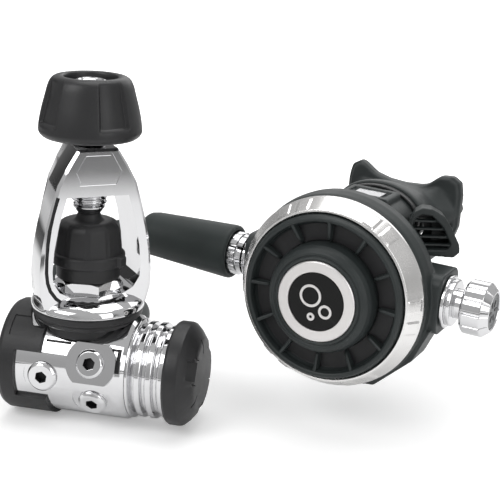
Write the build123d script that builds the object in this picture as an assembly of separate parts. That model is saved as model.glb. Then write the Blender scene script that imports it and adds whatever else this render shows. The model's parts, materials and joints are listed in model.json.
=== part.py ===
from build123d import *
import os
from math import cos, sin, radians, pi, sqrt

# Scuba regulator set: yoke first stage, low-pressure hose, second stage.
# Millimetres, +Z up. Origin: where the yoke's axis (Z) meets the first-stage body's axis (X).

# ---- first stage ----
BODY_R = 23.0                # chrome body, a cylinder about X
BODY_X0, BODY_X1 = -31.4, 24.2
NECK_R, NECK_TOP = 15.5, 26.6
CAP_X0, CAP_X1 = 40.6, 53.6  # black end cap
CAP_R = 22.9
HOUSING_CREST_R = 21.2       # ribbed spring housing
YOKE_YAW = 38.0              # the yoke is clamped turned about Z
YOKE_HALF_DEPTH = 12.0
YOKE_BASE_Z, YOKE_FLOOR_Z, YOKE_WINDOW_TOP, YOKE_TOP = 26.7, 33.9, 77.8, 98.0
SCREW_R, SCREW_TIP_Z, SCREW_TOP_Z = 7.5, 68.2, 119.0
KNOB_Z0, KNOB_Z1, KNOB_R = 101.2, 127.0, 21.9
HEX_AF, HEX_TOP = 25.4, 39.3 # yoke retainer nut
HP_PORT_R, LP_PORT_R = 5.56, 4.76   # 7/16-20 UNF and 3/8-24 UNF major radii
HP_X, LP_X = -12.0, 9.7

# ---- second stage ----
RIM_CENTRE = (102.1, 12.8, 38.3)
SECOND_YAW, SECOND_DIP = -13.6, -2.1
BARREL_Y, BARREL_Z = 27.0, 1.4
RING_R = 42.5
RIM_R = 36.5
EMBLEM_R = 17.8
CASE_R = 43.6
MOUTH_Z = 25.0               # height of the mouthpiece tube's axis over the cover's centre

# ---- hose ----
HOSE_R = 5.6
BEND_R = 31.0
GAP = 0.02                   # fitting gap between pieces that don't move on each other
RUN = 0.05                   # running clearance

os.makedirs("parts", exist_ok=True)


def revolved(points, arc=360.0, start=0.0):
    """Closed (radius, height) outline turned about Z."""
    face = Plane.XZ * make_face(Polyline(*points, close=True))
    return Rot(0, 0, start) * revolve(face, Axis.Z, arc)


def cyl(r, z0, z1, x=0.0, y=0.0):
    return Pos(x, y, z0) * Cylinder(r, z1 - z0, align=(Align.CENTER, Align.CENTER, Align.MIN))


def tube(r0, r1, z0, z1):
    return revolved([(r0, z0), (r1, z0), (r1, z1), (r0, z1)])


def block(x0, x1, y0, y1, z0, z1):
    return Pos((x0 + x1) / 2, (y0 + y1) / 2, (z0 + z1) / 2) * Box(x1 - x0, y1 - y0, z1 - z0)


def prism(points, z0, z1):
    return extrude(Pos(0, 0, z0) * make_face(Polyline(*points, close=True)), z1 - z0)


def hexagon(af, z0, z1, turn=0.0):
    return extrude(Pos(0, 0, z0) * RegularPolygon(af / sqrt(3), 6, rotation=turn), z1 - z0)


def torus(major, minor, z=0.0):
    return Pos(0, 0, z) * Torus(major, minor)


def spring(radius, wire, z0, z1, turns):
    """Closed-form helical spring along Z, between the two end heights."""
    height = z1 - z0 - 2 * wire - 0.02
    path = Helix(pitch=height / turns, height=height, radius=radius)
    start = path @ 0
    profile = Plane(origin=start, x_dir=(1, 0, 0), z_dir=path % 0) * Circle(wire)
    return Pos(0, 0, z0 + wire + 0.01) * sweep(profile, path=path, is_frenet=True)


def save(name, *shapes):
    solids = []
    for shape in shapes:
        solids += list(shape.solids())
    export_step(solids[0] if len(solids) == 1 else Compound(solids), f"parts/{name}.step")
    made.append(name)


made = []
ALONG_X = Plane(origin=(0, 0, 0), x_dir=(0, 1, 0), z_dir=(1, 0, 0))


def port(x, angle):
    """Frame of a port on the body: local Z points out, angle counted from the front (-Y) upwards."""
    a = radians(angle)
    return Plane(origin=(x, 0, 0), x_dir=(1, 0, 0), z_dir=(0, -cos(a), sin(a)))


# =====================================================================
# First stage body: ports, high-pressure chamber, intermediate chamber
# =====================================================================
LP_UP, LP_LOW, HP_FRONT = port(LP_X, 19.0), port(10.2, -27.0), port(HP_X, -1.5)
LP_HOSE, LP_OPEN, HP_OPEN = port(LP_X, 195.0), port(LP_X, 250.0), port(HP_X, 180.0)

body = ALONG_X * revolved([(0, BODY_X0), (BODY_R - 1.5, BODY_X0), (BODY_R, BODY_X0 + 1.5), (BODY_R, BODY_X1 - 1.4), (BODY_R - 1.2, BODY_X1), (0, BODY_X1)])
body += cyl(NECK_R, 0, NECK_TOP)
# raised pad of the upper front port, with flats above and below
body += LP_UP * (cyl(11.2, 12, 23.9) & block(-12, 12, -8.8, 8.8, 10, 30))
# low-pressure spot faces and bores
for frame, top, seat_r in ((LP_UP, 23.9, 6.4), (LP_OPEN, 22.4, 0), (LP_LOW, 22.4, 6.4), (LP_HOSE, 22.3, 0)):
    if frame is LP_LOW or frame is LP_OPEN:
        body -= frame * cyl(9.2, 22.4, 30)
    if frame is LP_HOSE:
        body -= frame * cyl(10.6, 22.3, 30)
    body -= frame * cyl(LP_PORT_R, 9.0, 30)
    if seat_r:
        body -= frame * cyl(5.9, top - 1.2, 30)
# high-pressure spot faces and bores
body -= HP_FRONT * cyl(8.6, 22.6, 30)
body -= HP_FRONT * cyl(HP_PORT_R, 5.0, 30)
body -= HP_FRONT * cyl(6.6, 21.4, 30)
body -= HP_OPEN * cyl(9.0, 22.4, 30)
body -= HP_OPEN * cyl(HP_PORT_R, 5.6, 30)
# bores along the body: balance plug, high-pressure chamber, seat, intermediate chamber, diaphragm recess
body -= ALONG_X * cyl(9.0, BODY_X0 - 1, -24.0)
body -= ALONG_X * cyl(6.0, -24.5, 2.0)
body -= ALONG_X * cyl(5.0, 1.5, 6.5)
body -= ALONG_X * cyl(11.0, 6.0, 26)
body -= ALONG_X * cyl(17.0, 20.9, 26)
# inlet
body -= cyl(8.95, 14.0, 30)
body -= cyl(3.5, 3.0, 15)
# narrow dark groove line that frames the front face of the body
for (x0, x1, a0, a1) in ((-12.0, -0.6, 36.6, 39.6), (16.6, 22.4, 35.2, 38.2), (20.6, 22.4, 12.0, 36.0)):
    face = Plane.XZ * make_face(Polyline((BODY_R - 0.7, x0), (BODY_R + 1, x0), (BODY_R + 1, x1), (BODY_R - 0.7, x1), close=True))
    body -= ALONG_X * (Rot(0, 0, 180 - a1) * revolve(face, Axis.Z, a1 - a0))
save("first_stage_body", body)

# =====================================================================
# Yoke: A-shaped loop round the tank valve, base plate under the nut
# =====================================================================
outer = [(19.5, 26.7), (22.8, 29.3), (24.7, 36), (25.0, 44), (24.2, 54), (22.4, 64), (19.9, 74), (17.4, 83), (13.2, 91), (8.8, 98.0)]
inner_win = [(11.5, 33.9), (16.4, 36.6), (19.3, 41.2), (19.6, 46), (18.9, 55), (16.8, 66.4), (13.6, 77.8)]
front = outer + [(-x, z) for x, z in reversed(outer)]
narrow = [(x * 0.84, z) for x, z in front]


def xz_face(points, y):
    return Plane(origin=(0, y, 0), x_dir=(1, 0, 0), z_dir=(0, -1, 0)) * make_face(Polyline(*points, close=True))


D = YOKE_HALF_DEPTH
soft = [(x * 0.945, 26.7 + (z - 26.7) * 0.985 + (0.4 if z < 60 else 0.0)) for x, z in front]
yoke = loft([xz_face(soft, -D), xz_face(front, -D + 1.3)], ruled=True)
yoke += extrude(xz_face(front, -D + 1.3), -(D + 0.7))
yoke += loft([xz_face(front, 2.0), xz_face(narrow, D)], ruled=True)
window = inner_win + [(-x, z) for x, z in reversed(inner_win)]
yoke -= extrude(xz_face(window, D + 2), 2 * D + 4)
yoke -= cyl(15.3, YOKE_FLOOR_Z, 42)
# embossed trapezoid pad on the front plate, below the knob
pad = [(-9.4, 88.2), (-7.4, 83.6), (7.4, 83.6), (9.4, 88.2), (5.4, 95.2), (-5.4, 95.2)]
recess = [(-10.4, 88.2), (-8.0, 82.6), (8.0, 82.6), (10.4, 88.2), (6.0, 96.2), (-6.0, 96.2)]
yoke -= extrude(xz_face(recess, -D - 1), -1.45) - extrude(xz_face(pad, -D - 1), -1.45)
# groove parallel to the window on the left leg and the lower corner
groove_path = [(-17.4, 78.0), (-19.3, 71.5), (-20.7, 65.0), (-21.6, 58.5), (-22.1, 52.0), (-22.2, 46.0), (-21.7, 41.5), (-20.5, 37.8), (-18.0, 34.2), (-15.0, 31.7), (-11.5, 30.3), (-7.0, 29.8)]
for (xa, za), (xb, zb) in zip(groove_path, groove_path[1:]):
    n = sqrt((xb - xa) ** 2 + (zb - za) ** 2)
    ux, uz = (xb - xa) / n, (zb - za) / n
    e = 0.25
    quad = [(xa - ux * e - uz * 0.75, za - uz * e + ux * 0.75), (xb + ux * e - uz * 0.75, zb + uz * e + ux * 0.75),
            (xb + ux * e + uz * 0.75, zb + uz * e - ux * 0.75), (xa - ux * e + uz * 0.75, za - uz * e - ux * 0.75)]
    yoke -= extrude(xz_face(quad, -D - 1), -1.55)
# round foot over the rubber ring, tapering up to the window's floor
yoke += revolved([(0, 26.7), (24.2, 26.7), (24.7, 27.2), (24.6, 28.6), (23.6, 30.4), (20.5, 32.6), (17.5, 33.85), (0, 33.85)])
yoke -= cyl(15.3, YOKE_FLOOR_Z, 42)
yoke -= cyl(8.97, 20, YOKE_FLOOR_Z + 1)                    # retainer hole
yoke -= cyl(SCREW_R + RUN, YOKE_WINDOW_TOP - 1, YOKE_TOP + 1)   # screw hole
YOKE = Rot(0, 0, YOKE_YAW)
save("yoke_frame", YOKE * yoke)

# screw: ringed thread, free cone tip that doesn't turn on the dust cap
pitch = 2.0
thread = [(2.6, 71.6)]
z = 71.6
thread.append((SCREW_R - 0.9, z))
while z < 98.5:
    thread += [(SCREW_R - 0.75, z + 0.15), (SCREW_R, z + 0.75), (SCREW_R, z + 1.15), (SCREW_R - 0.75, z + 1.75)]
    z += pitch
thread += [(SCREW_R - 0.8, z), (SCREW_R - 0.8, 112.0), (4.4, 112.0), (4.4, SCREW_TOP_Z), (2.6, SCREW_TOP_Z)]
save("yoke_screw", revolved(thread))
tip = revolved([(0, SCREW_TIP_Z), (4.6, SCREW_TIP_Z), (5.2, SCREW_TIP_Z + 0.5), (6.8, 70.9), (6.8, 71.55), (2.55, 71.55), (2.55, 113), (0, 113)])
save("yoke_screw_tip", tip)

# knob: four raised lobes with recessed panels between them
knob = revolved([(0, KNOB_Z0), (19.6, KNOB_Z0), (21.3, KNOB_Z0 + 1.4), (KNOB_R, KNOB_Z0 + 3.2), (21.6, 108.0), (20.2, 115.0), (18.3, 122.4), (17.2, 125.3), (15.4, 126.7), (13.4, KNOB_Z1), (12.0, KNOB_Z1), (11.4, 126.4), (11.4, 119.6), (0, 119.6)])
for k in range(4):
    panel = revolved([(20.1, 107.6), (30, 107.6), (30, 125.2), (16.1, 125.2), (17.0, 122.2), (18.8, 115.0)], 37.0, -40.6 - 18.5 + 90 * k)
    knob -= panel
knob -= cyl(SCREW_R - 0.8 + GAP, KNOB_Z0 - 1, 112.0 + GAP)
knob -= cyl(4.4 + GAP, 111, 121)
save("yoke_knob", knob)
save("yoke_knob_insert", revolved([(0, 119.65), (11.3, 119.65), (11.3, 121.2), (9.0, 122.0), (7.8, 124.4), (7.0, 125.2), (5.4, 125.5), (5.0, 124.9), (0, 124.9)]))

# dust cap: faceted dome with a flange and a strap lug, pressed on the nut by the screw
facet = 10
dome = loft([Pos(0, 0, 50.9) * RegularPolygon(15.5, facet), Pos(0, 0, 62.6) * RegularPolygon(13.6, facet)], ruled=True)
dome += loft([Pos(0, 0, 62.6) * RegularPolygon(13.6, facet), Pos(0, 0, 64.9) * RegularPolygon(10.8, facet)], ruled=True)
cap = revolved([(0, 39.6), (13.4, 39.6), (13.8, 40.2), (13.9, 45.6), (15.5, 46.0), (15.9, 46.6), (15.9, 50.2), (15.3, 50.95), (0, 50.95)])
cap += dome
cap += revolved([(0, 60), (6.4, 60), (6.0, 64.9), (4.95, 67.6), (4.6, 68.15), (0, 68.15)])
cap += Rot(0, 0, -11) * (block(14.0, 17.6, -2.2, 2.2, 46.6, 50.4))
cap -= cyl(8.0, 38, 42.5)
save("dust_cap", cap)

# retainer nut with the sintered inlet filter
nut = (hexagon(HEX_AF, 33.95, HEX_TOP, 8) & revolved([(0, 33.95), (14.0, 33.95), (14.7, 34.6), (14.7, 38.4), (13.2, HEX_TOP), (0, HEX_TOP)]))
nut += cyl(8.9, 14.6, 34.2)
nut -= cyl(5.6, 20.0, 42)
nut -= cyl(3.4, 10, 22)
nut -= revolved([(7.2, 38.4), (8.6, 38.4), (8.6, 40), (7.2, 40)])
save("yoke_retainer_nut", nut)
save("inlet_filter", revolved([(0, 20.1), (5.5, 20.1), (4.2, 33.5), (2.4, 36.4), (0, 36.9)]))
save("filter_circlip", revolved([(4.6, 35.6), (5.55, 35.6), (5.55, 36.5), (4.6, 36.5)], 330, 15))
face_ring = revolved([(7.3, 38.45), (8.5, 38.45), (8.5, 39.45), (7.3, 39.45)])

# rubber ring under the yoke, saddle-shaped where it meets the body
ring = revolved([(NECK_R + GAP, 12.5), (18.7, 12.5), (18.7, 19.6), (20.2, 20.0), (22.6, 21.6), (23.2, 23.0), (23.4, 23.2), (23.4, 23.8), (24.1, 24.2), (24.1, 26.2), (23.7, 26.64), (NECK_R + GAP, 26.64)])
ring -= ALONG_X * cyl(BODY_R + GAP, -40, 40)
ring -= LP_UP * cyl(11.3, 10, 24.2)
save("yoke_bumper_ring", ring)

# rubber bumper over the left end: cup, upper wrap and lower wrap, windows for the high-pressure ports
shell_out = revolved([(0, -34.0), (20.6, -34.0), (23.6, -32.9), (24.6, -31.0), (24.6, -11.0), (0, -11.0)])
shell_in = revolved([(0, BODY_X0 - GAP), (BODY_R - 1.5, BODY_X0 - GAP), (BODY_R + GAP, BODY_X0 + 1.5), (BODY_R + GAP, 0), (0, 0)])
bump = shell_out - shell_in


def wedge(x0, x1, a0, a1):
    """Sector blank round the body's axis, angles from the front (-Y) upwards."""
    return revolved([(5, x0), (40, x0), (40, x1), (5, x1)], a1 - a0, 180 - a1)


bump -= wedge(-25.0, 5, -29.0, 23.5)
bump -= wedge(-25.0, 5, 156.5, 209.0)
bump -= wedge(-13.6, 5, 20.0, 160.0)
# shallow panel pressed into the upper wrap
bump -= revolved([(24.1, -28.8), (30, -28.8), (30, -16.6), (24.1, -16.6)], 24.0, 180 - 62.0)
bump = ALONG_X * bump
bump -= cyl(24.4, 18.5, 30)
save("body_bumper", bump)

# plugs: flat-topped heads with hex sockets
def plug(frame, r, head_r, seat, head, socket, length):
    p = revolved([(0, seat - length), (r - 0.3, seat - length), (r - 0.04, seat - length + 0.4), (r - 0.04, seat - 1.6), (r - 0.4, seat - 1.3), (r - 0.4, seat), (head_r, seat), (head_r, seat + head - 1.0), (head_r - 1.0, seat + head), (0, seat + head)])
    p -= hexagon(socket, seat + head - 3.0, seat + head + 1, 20)
    return frame * p


save("high_pressure_plug", plug(HP_FRONT, HP_PORT_R, 6.55, 22.65, 2.0, 4.8, 9.5))
save("lp_port_plugs", plug(LP_UP, LP_PORT_R, 6.2, 23.95, 2.3, 4.8, 9.5), plug(LP_LOW, LP_PORT_R, 6.2, 22.45, 2.2, 4.8, 9.5))
save("static_o_rings", face_ring, HP_FRONT * torus(5.85, 0.55, 22.05), LP_UP * torus(5.1, 0.55, 23.35), LP_LOW * torus(5.1, 0.55, 21.85))

# spring housing: ribbed chrome bell screwed on the body, end cap over it
h = [(10.6, 24.25), (21.6, 24.25), (22.0, 24.7), (22.0, 25.5), (20.4, 26.3), (18.7, 27.0), (18.7, 27.7), (20.9, 28.2), (HOUSING_CREST_R, 28.6), (HOUSING_CREST_R, 30.2), (20.9, 30.7), (18.8, 31.4), (18.8, 32.6), (20.9, 33.2), (HOUSING_CREST_R, 33.6), (HOUSING_CREST_R, 35.3), (20.9, 35.8), (18.9, 36.5), (18.9, 37.8), (20.2, 38.4), (20.4, 38.9), (20.4, 40.5), (19.45, 40.5), (19.45, 46.3), (10.6, 46.3)]
save("spring_housing", ALONG_X * revolved(h))
save("main_diaphragm", ALONG_X * revolved([(0, 21.55), (16.7, 21.55), (16.9, 22.0), (16.9, 23.1), (16.7, 23.55), (12.6, 23.55), (12.0, 23.2), (10.6, 23.2), (10.1, 23.55), (0, 23.55)]))
save("spring_pad", ALONG_X * revolved([(0, 23.6), (9.8, 23.6), (10.0, 24.0), (10.0, 25.4), (6.4, 25.4), (6.4, 28.0), (0, 28.0)]))
save("main_spring", ALONG_X * spring(8.3, 1.35, 25.5, 39.9, 4.0))
adj = ALONG_X * revolved([(0, 40.0), (10.2, 40.0), (10.5, 40.4), (10.5, 45.6), (10.1, 46.0), (0, 46.0)]) - ALONG_X * hexagon(8.0, 42.5, 47)
save("ip_adjusting_screw", adj)
end = revolved([(0, 50.2), (0, CAP_X1), (6.6, CAP_X1), (14.2, CAP_X1 - 0.2), (16.6, 52.6), (20.6, 49.6), (22.6, 47.4), (CAP_R, 46.2), (CAP_R, 42.0), (22.3, 41.0), (21.4, CAP_X0), (19.5, CAP_X0), (19.5, 46.4), (13.0, 46.4), (13.0, 50.2)])
end -= revolved([(9.0, 50.0), (9.9, 50.0), (9.9, 51.9), (0, 51.9), (0, 50.0)])
for k in range(3):
    end -= Rot(0, 0, 154 + 120 * k) * (Pos(16.4, 0, 53.0) * Rot(0, 40, 0) * Box(7.4, 8.4, 3.6))
    end -= Rot(0, 0, 214 + 120 * k) * block(10.5, 24, -0.35, 0.35, 52.2, 56)
    end -= Rot(0, 0, 154 + 120 * k) * (block(11.0, 24, 5.2, 5.7, 52.6, 56) + block(11.0, 24, -5.7, -5.2, 52.6, 56))
save("end_cap", ALONG_X * end)
save("end_cap_membrane", ALONG_X * revolved([(0, 50.25), (9.8, 50.25), (9.8, 51.8), (8.6, 51.8), (8.0, 51.2), (0, 51.2)]))
save("load_transmitter", ALONG_X * revolved([(0, 46.1), (8.6, 46.1), (8.6, 47.2), (3.0, 47.9), (3.0, 49.0), (7.8, 49.4), (7.8, 50.15), (0, 50.15)]))

# valve train inside the body
save("valve_seat_orifice", ALONG_X * revolved([(2.0, 2.05), (2.6, 2.05), (3.2, 2.5), (4.95, 2.5), (4.95, 6.4), (2.0, 6.4)]))
save("first_stage_poppet", ALONG_X * revolved([(0, -15.0), (2.0, -15.0), (2.0, -3.4), (3.7, -3.4), (4.0, -3.0), (4.0, 1.3), (3.2, 2.0), (0, 2.0)]))
save("push_pin", ALONG_X * revolved([(0, 2.05), (0.9, 2.05), (0.9, 19.6), (5.0, 19.6), (5.4, 20.0), (5.4, 21.5), (0, 21.5)]))
save("poppet_spring", ALONG_X * spring(3.2, 0.45, -9.9, -4.0, 4.5))
save("balance_plug", ALONG_X * (revolved([(0, -31.3), (8.6, -31.3), (8.95, -30.9), (8.95, -24.1), (5.9, -24.1), (5.9, -19.6), (4.8, -18.8), (4.8, -10.0), (2.0 + RUN, -10.0), (2.0 + RUN, -16.2), (0, -16.2)]) - hexagon(6.0, -32, -27)))

# =====================================================================
# Second stage, in its own frame: x to the adjuster, y to the mouthpiece, z up
# =====================================================================
yaw, dip = radians(SECOND_YAW), radians(SECOND_DIP)
X2 = Vector(cos(dip) * cos(yaw), cos(dip) * sin(yaw), sin(dip))
Y2 = Vector(-sin(yaw), cos(yaw), 0)
Z2 = X2.cross(Y2)
SECOND = Plane(origin=RIM_CENTRE, x_dir=(X2.X, X2.Y, X2.Z), z_dir=(Z2.X, Z2.Y, Z2.Z))
FACE = Plane(origin=(0, 0, 0), x_dir=(1, 0, 0), z_dir=(0, 1, 0))
BARREL = Plane(origin=(0, BARREL_Y, BARREL_Z), x_dir=(0, 1, 0), z_dir=(1, 0, 0))


def put(name, *shapes):
    save(name, *[SECOND * s for s in shapes])


# case: round shell behind the cover, barrel housing across it, tube for the mouthpiece at the back
shell = revolved([(0, 9.7), (42.2, 9.7), (42.9, 11.5), (CASE_R, 16.5), (43.4, 21.0), (41.6, 26.0), (38.4, 30.5), (33.5, 34.6), (26, 37.8), (16, 39.2), (0, 39.2)])
case = FACE * shell
housing = Pos(0, BARREL_Y, BARREL_Z) * Box(93.0, 24.5, 27.0)
housing = fillet(housing.edges().filter_by(Axis.X), 6.0)
case += housing
# chin below the barrel on the right, mirrored on the left
chin = [(44.6, -9.6), (38.0, -25.0), (22.0, -40.2), (0.0, -43.4), (-22.0, -40.2), (-38.0, -25.0), (-44.6, -9.6)]
case += extrude(xz_face(chin, 31.0), 17.0)
tube_outer = Plane(origin=(0, 26, MOUTH_Z), x_dir=(1, 0, 0), z_dir=(0, 1, 0)) * extrude(Ellipse(19.5, 13.2), 30.0)
case += tube_outer
boss = block(-12.0, 12.0, 33.5, 50.5, MOUTH_Z + 4, MOUTH_Z + 13.6)
case += fillet(boss.edges().filter_by(Axis.Y).group_by(Axis.Z)[-1], 2.0)
# cavity for diaphragm and lever, bore for the barrel, air way to the mouthpiece
cavity = revolved([(0, 9.0), (38.2, 9.0), (38.2, 14.5), (36.5, 17.5), (0, 17.5)]) + revolved([(0, 17.0), (33.0, 17.0), (30.0, 27.0), (22.0, 33.0), (0, 35.0)])
case -= FACE * cavity
case -= BARREL * cyl(9.3, -48, 48)
case -= Plane(origin=(0, 20, MOUTH_Z), x_dir=(1, 0, 0), z_dir=(0, 1, 0)) * extrude(Ellipse(16.4, 10.2), 40.0)
# recess of the venturi switch on top of the tube, and the slot under it
case -= block(-8.9, 8.9, 36.7, 47.1, MOUTH_Z + 12.2, MOUTH_Z + 16)
case -= block(-4.2, 4.2, 40.3, 43.7, MOUTH_Z + 5, MOUTH_Z + 16)
case -= cyl(1.65, MOUTH_Z - 12.4, MOUTH_Z - 5, 0, 34.0)
# exhaust port at the back, under the mouthpiece
case -= Plane(origin=(0, 30, -8.5), x_dir=(1, 0, 0), z_dir=(0, 1, 0)) * extrude(Circle(9.0), 12.0)
case -= Plane(origin=(0, 37.9, -8.5), x_dir=(1, 0, 0), z_dir=(0, 1, 0)) * extrude(Circle(12.6), 12.0)
put("second_stage_case", case)

# cover ring: bevelled chrome ring with pairs of grip pads
cring = revolved([(RIM_R + 0.1, 1.2), (RIM_R + 0.1, 0.4), (RIM_R + 0.9, -0.5), (38.3, -0.3), (42.0, 6.6), (RING_R, 7.6), (RING_R, 9.0), (42.1, 9.65), (38.4, 9.65), (38.4, 6.4), (RIM_R + 0.1, 5.2)])
for k in range(6):
    for d in (-7.0, 7.0):
        cring += revolved([(38.2, 0.8), (38.9, 0.35), (41.7, 5.6), (41.2, 6.4)], 8.0, 60 * k + 1.5 + d - 4)
put("cover_ring", FACE * cring)
# purge cover rim with twelve ribs in its groove
rim = revolved([(24.6, 3.0), (36.45, 3.0), (36.45, -0.6), (36.1, -2.0), (35.4, -3.0), (34.5, -3.3), (33.7, -2.9), (33.2, -1.6), (33.0, 0.4), (32.4, 1.6), (24.6, 1.6)])
for k in range(12):
    rib = block(24.6, 33.8, -1.0, 1.0, -1.9, 2.0)
    rim += Rot(0, 0, 30 * k) * rib
put("purge_rim", FACE * rim)
button = revolved([(0, -6.9), (18.0, -6.9), (18.0, -7.9), (18.6, -8.3), (19.3, -8.0), (19.7, -7.4), (20.3, -7.9), (21.0, -7.8), (22.6, -6.6), (23.8, -4.4), (24.45, -1.2), (24.45, 2.6), (22.8, 2.6), (21.6, -4.0), (8.6, -4.6), (8.6, -1.6), (7.4, -1.6), (7.4, -4.7), (0, -4.7)])
put("purge_button", FACE * button)
emblem = revolved([(0, -8.4), (12.9, -8.4), (13.2, -8.7), (17.3, -8.7), (EMBLEM_R, -8.2), (EMBLEM_R, -6.95), (0, -6.95)])
put("emblem_disc", FACE * emblem)
put("purge_spring", FACE * spring(6.0, 0.5, -4.6, 2.9, 3.5))
# diaphragm and its plate
put("demand_diaphragm", FACE * revolved([(0, 3.4), (13.0, 3.4), (14.0, 4.6), (20.0, 4.8), (28.0, 3.6), (34.0, 3.4), (35.2, 3.6), (35.2, 5.0), (34.0, 5.0), (28.0, 5.0), (20.0, 6.2), (13.2, 6.0), (12.4, 4.9), (0, 4.9)]))
put("diaphragm_plate", FACE * revolved([(0, 4.95), (11.6, 4.95), (11.6, 5.5), (0, 5.5)]))

# barrel with its hinge ears for the lever
br = revolved([(5.2, -49.4), (9.4, -49.4), (9.8, -49.0), (9.8, -47.9), (9.4, -47.6), (11.2, -47.5), (11.5, -47.2), (11.5, -46.6), (9.2, -46.55), (9.2, -38.0), (8.6, -37.6), (8.6, 38.6), (9.2, 39.0), (9.2, 46.0), (5.2, 46.0)])
barrel = BARREL * br
PIVOT = (-14.0, BARREL_Y - 10.6)
ears = block(PIVOT[0] - 2.2, PIVOT[0] + 2.2, PIVOT[1] - 1.8, BARREL_Y - 7.0, BARREL_Z - 6.0, BARREL_Z - 4.2) + block(PIVOT[0] - 2.2, PIVOT[0] + 2.2, PIVOT[1] - 1.8, BARREL_Y - 7.0, BARREL_Z + 4.2, BARREL_Z + 6.0)
barrel += ears
barrel -= cyl(1.25, BARREL_Z - 9, BARREL_Z + 9, PIVOT[0], PIVOT[1])
barrel -= BARREL * cyl(5.2, -50, 47)
barrel -= block(2.0, 20.0, BARREL_Y + 4, BARREL_Y + 10, BARREL_Z - 3, BARREL_Z + 3)
put("valve_barrel", barrel)
# lever: pivot pin, arm towards the plate, rounded foot, finger through the barrel slot
lev = cyl(1.2, BARREL_Z - 5.9, BARREL_Z + 5.9, PIVOT[0], PIVOT[1])
arm = [(PIVOT[0] - 1.6, PIVOT[1] - 1.0), (PIVOT[0] + 1.6, PIVOT[1] + 0.9), (2.0, 8.4), (8.4, 7.2), (9.4, 6.6), (8.8, 6.0), (6.0, 5.62), (2.0, 6.9), (1.0, 7.2)]
lev += extrude(Pos(0, 0, BARREL_Z - 3.4) * make_face(Polyline(*arm, close=True)), 6.8)
put("demand_lever", lev)
put("orifice_cone", BARREL * revolved([(1.6, -50.0), (4.2, -50.0), (5.15, -49.0), (5.15, -34.0), (2.6, -34.0), (2.1, -33.2), (1.6, -33.2)]))
put("demand_poppet", BARREL * revolved([(0, -33.1), (3.2, -33.1), (4.9, -32.4), (4.9, -28.0), (3.0, -27.5), (3.0, -6.0), (4.9, -5.6), (4.9, -2.0), (1.6, -2.0), (1.6, 4.0), (0, 4.0)]))
put("demand_spring", BARREL * spring(3.4, 0.5, 0.0, 21.0, 8.0))
put("adjuster_spring_pad", BARREL * revolved([(0, 24.8), (4.9, 24.8), (5.1, 25.2), (5.1, 29.4), (2.4, 29.4), (2.4, 40.0), (0, 40.0)]))
screw = revolved([(2.45, 30.0), (4.6, 30.0), (4.6, 49.3), (6.4, 49.3), (6.4, 55.0), (4.0, 55.0), (4.0, 58.0), (2.45, 58.0)])
put("adjuster_screw", BARREL * screw)
# gland nut screwed in the barrel's right end: two ringed collars
put("adjuster_gland_nut", BARREL * revolved([(6.45, 46.55), (11.3, 46.55), (11.7, 47.0), (11.7, 48.0), (11.2, 48.4), (9.8, 48.5), (9.8, 48.8), (10.4, 49.1), (10.4, 50.3), (9.9, 50.8), (6.45, 50.8)]))
# adjuster knob: fluted, hollow front with a grey disc
kn = revolved([(0, 55.1), (10.6, 55.1), (11.9, 56.4), (11.9, 64.4), (9.0, 67.6), (8.2, 67.6), (7.9, 67.2), (7.9, 66.0), (0, 66.0)])
for k in range(12):
    kn -= Rot(0, 0, 30 * k) * cyl(0.6, 56.6, 64.2, 12.2, 0)
kn -= revolved([(0, 54), (4.0 + GAP, 54), (4.0 + GAP, 58.02), (0, 58.02)])
put("adjuster_knob", BARREL * kn)
put("adjuster_knob_cap", BARREL * revolved([(0, 66.05), (7.8, 66.05), (7.8, 67.0), (7.4, 67.3), (0, 67.3)]))
# inlet side: swivel nut with a knurled collar and a hex, on the hose's end

# venturi switch: slider plate with a fork, and the vane it turns
slider = block(-6.3, 6.3, 37.0, 46.8, MOUTH_Z + 12.3, MOUTH_Z + 13.0) + block(-1.4, 1.4, 40.6, 43.4, MOUTH_Z + 5.6, MOUTH_Z + 12.5)
put("venturi_slider", slider)
vane = cyl(1.6, MOUTH_Z - 12.3, MOUTH_Z + 5.5, 0, 34.0) + block(-0.7, 0.7, 34.0, 44.0, MOUTH_Z - 8.5, MOUTH_Z + 5.3)
put("venturi_vane", vane)
# exhaust valve and tee with a louvred outlet each side
put("exhaust_valve", Plane(origin=(0, 38.0, -8.5), x_dir=(1, 0, 0), z_dir=(0, 1, 0)) * revolved([(0, 0), (12.4, 0.4), (12.4, 1.2), (3.0, 1.4), (0, 1.6)]))


def section(points, x):
    return Plane(origin=(x, 0, 0), x_dir=(0, 1, 0), z_dir=(1, 0, 0)) * make_face(Polyline(*points, close=True))


def low(points):
    return [(y, 4 + (z - 14) * 0.8) for y, z in points]


# the right wing ends in a louvred outlet that looks past the case; the left wing stays lower
OUTLET = Plane(origin=(35, 42, 25), x_dir=(0.8, 0.6, 0), z_dir=(0.6, -0.8, 0))
outlet_out = [(-15.6, 2.2), (-15.2, 5.9), (-13.0, 10.5), (-9.5, 12.4), (-4.7, 11.9), (1.3, 8.7), (5.4, 3.1), (9.6, -4.2), (10.2, -7.7), (7.5, -10.2), (-6.6, -9.4)]
outlet_in = [(-13.6, 3.2), (-12.6, 7.4), (-9.5, 9.5), (-4.4, 8.7), (1.3, 3.4), (5.6, -4.1), (4.5, -6.7), (-6.2, -6.9)]


def duct(root_out, root_in, x, end_out, end_in):
    return loft([section(root_out, x), end_out], ruled=True), loft([section(root_in, x), end_in], ruled=True)


def outlet_face(points, depth):
    return OUTLET * Pos(0, 0, depth) * make_face(Polyline(*points, close=True))


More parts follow.
